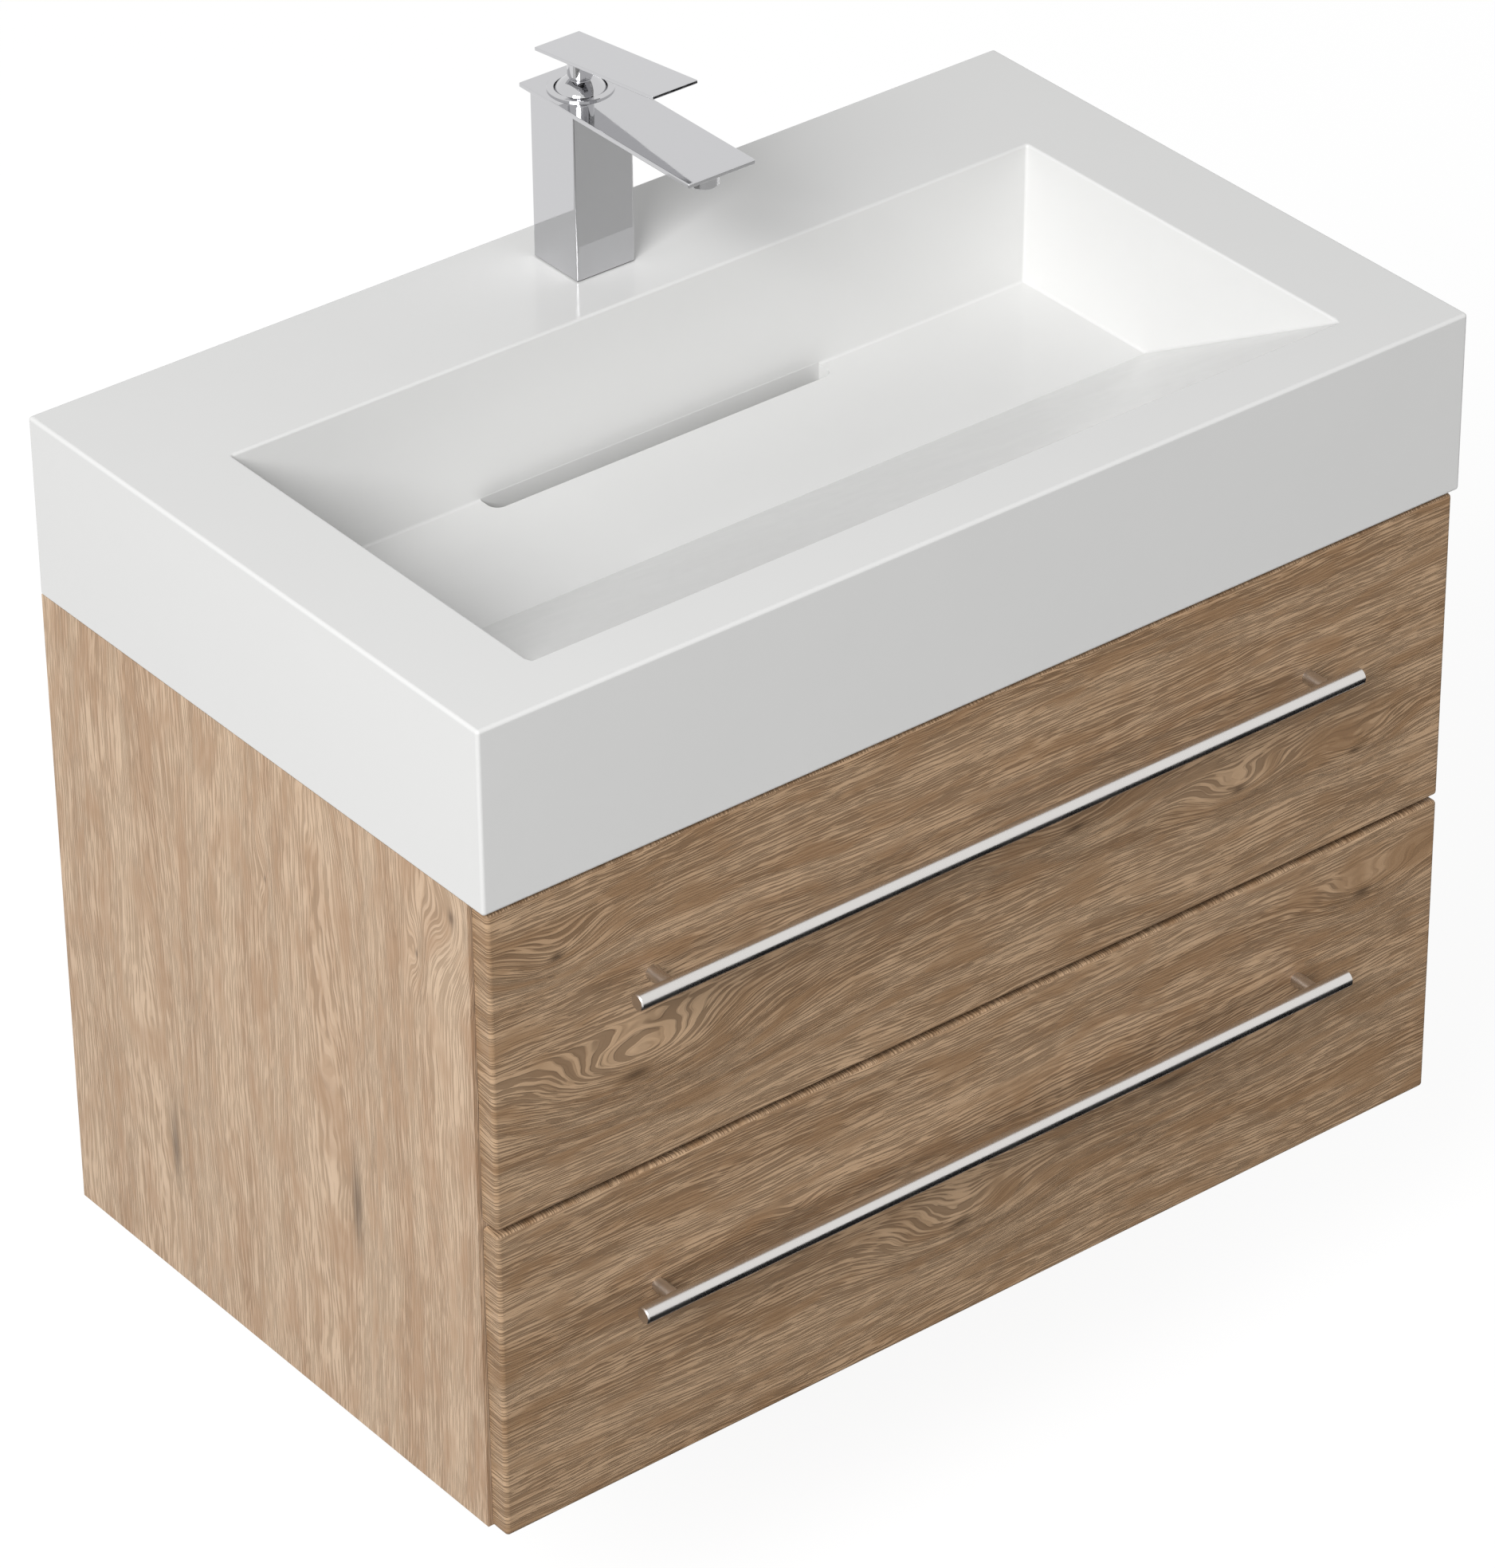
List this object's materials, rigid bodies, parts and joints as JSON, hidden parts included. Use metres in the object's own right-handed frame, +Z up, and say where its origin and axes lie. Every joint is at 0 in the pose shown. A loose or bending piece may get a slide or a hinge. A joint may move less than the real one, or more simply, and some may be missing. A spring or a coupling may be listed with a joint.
{
  "type": "washbasin vanity unit",
  "caption": "White rectangular slab washbasin with a rear drain slot and single-lever mixer on a wall-hung oak vanity with bar-handled drawers.",
  "frame": {"origin": "on the wall, midway between the two wall bolts that the unit hangs from", "axes": "+X to the right seen from the front, +Y horizontally into the wall, +Z up"},
  "size_m": [0.8, 0.505, 0.7795],
  "materials": {
    "mineral_cast": "glossy white cast mineral resin",
    "cabinet_decor": "light oak decor, grain upright, fine texture",
    "front_decor": "oak decor, grain level, embossed texture",
    "carcass_board": "oak decor board",
    "drawer_board": "light grey coated board",
    "beech_dowel": "raw beech",
    "handle_steel": "brushed along the bar",
    "zinc_steel": "zinc plated",
    "chrome": "polished chrome",
    "brass": "raw brass",
    "white_plastic": "moulded",
    "grey_plastic": "moulded",
    "black_rubber": "soft"
  },
  "bodies": {
    "cabinet": {"washbasin": "mineral_cast", "slot_drain_trough": "white_plastic", "waste_tail": "white_plastic", "waste_seal": "black_rubber", "waste_nut": "white_plastic", "left_side_panel": "cabinet_decor", "right_side_panel": "cabinet_decor", "bottom_panel": "carcass_board", "upper_back_rail": "carcass_board", "lower_back_rail": "carcass_board", "front_rail": "carcass_board", "cabinet_dowels": "beech_dowel", "hangers": "zinc_steel", "wall_plates": "zinc_steel", "board_screws": "zinc_steel", "upper_left_outer_rail": "zinc_steel", "upper_right_outer_rail": "zinc_steel", "lower_left_outer_rail": "zinc_steel", "lower_right_outer_rail": "zinc_steel", "mixer_body": "chrome", "trim_ring": "chrome", "cartridge": "grey_plastic", "cartridge_nut": "brass", "aerator": "grey_plastic", "base_seal": "black_rubber", "mounting_stud": "zinc_steel", "clamp_rubber": "black_rubber", "clamp_plate": "zinc_steel", "stud_nut": "brass"},
    "swivel": {"cartridge_rotor": "grey_plastic", "tilt_pin": "zinc_steel"},
    "lever": {"lever": "chrome", "dome_cap": "chrome", "spindle": "brass", "lever_grub_screw": "zinc_steel"},
    "upper_drawer": {"upper_front": "front_decor", "upper_handle_bar": "handle_steel", "upper_handle_posts": "handle_steel", "upper_handle_screws": "zinc_steel", "upper_drawer_left_side": "drawer_board", "upper_drawer_right_side": "drawer_board", "upper_drawer_bottom": "drawer_board", "upper_drawer_back": "drawer_board", "upper_left_inner_rail": "zinc_steel", "upper_right_inner_rail": "zinc_steel", "upper_siphon_wall": "drawer_board"},
    "lower_drawer": {"lower_front": "front_decor", "lower_handle_bar": "handle_steel", "lower_handle_posts": "handle_steel", "lower_handle_screws": "zinc_steel", "lower_drawer_left_side": "drawer_board", "lower_drawer_right_side": "drawer_board", "lower_drawer_bottom": "drawer_board", "lower_drawer_back": "drawer_board", "lower_left_inner_rail": "zinc_steel", "lower_right_inner_rail": "zinc_steel"},
    "upper_middle_rails": {"upper_left_middle_rail": "zinc_steel", "upper_right_middle_rail": "zinc_steel"},
    "lower_middle_rails": {"lower_left_middle_rail": "zinc_steel", "lower_right_middle_rail": "zinc_steel"}
  },
  "joints": [
    {"name": "upper_drawer_slide", "type": "slide", "parent": "cabinet", "child": "upper_drawer", "axis": [0, -1, 0], "range_m": [0, 0.36]},
    {"name": "upper_middle_slide", "type": "slide", "parent": "cabinet", "child": "upper_middle_rails", "axis": [0, -1, 0], "range_m": [0, 0.18]},
    {"name": "lower_drawer_slide", "type": "slide", "parent": "cabinet", "child": "lower_drawer", "axis": [0, -1, 0], "range_m": [0, 0.36]},
    {"name": "lower_middle_slide", "type": "slide", "parent": "cabinet", "child": "lower_middle_rails", "axis": [0, -1, 0], "range_m": [0, 0.18]},
    {"name": "mixer_swivel", "type": "hinge", "parent": "cabinet", "child": "swivel", "pos_m": [0, -0.059, 0.359], "axis": [0, 0, 1], "range_deg": [-50, 50]},
    {"name": "lever_tilt", "type": "hinge", "parent": "swivel", "child": "lever", "pos_m": [0, -0.059, 0.359], "axis": [-1, 0, 0], "range_deg": [0, 25]}
  ],
  "couplings": [
    {"joint": "upper_middle_slide", "follows": "upper_drawer_slide", "ratio": 0.5},
    {"joint": "lower_middle_slide", "follows": "lower_drawer_slide", "ratio": 0.5}
  ]
}
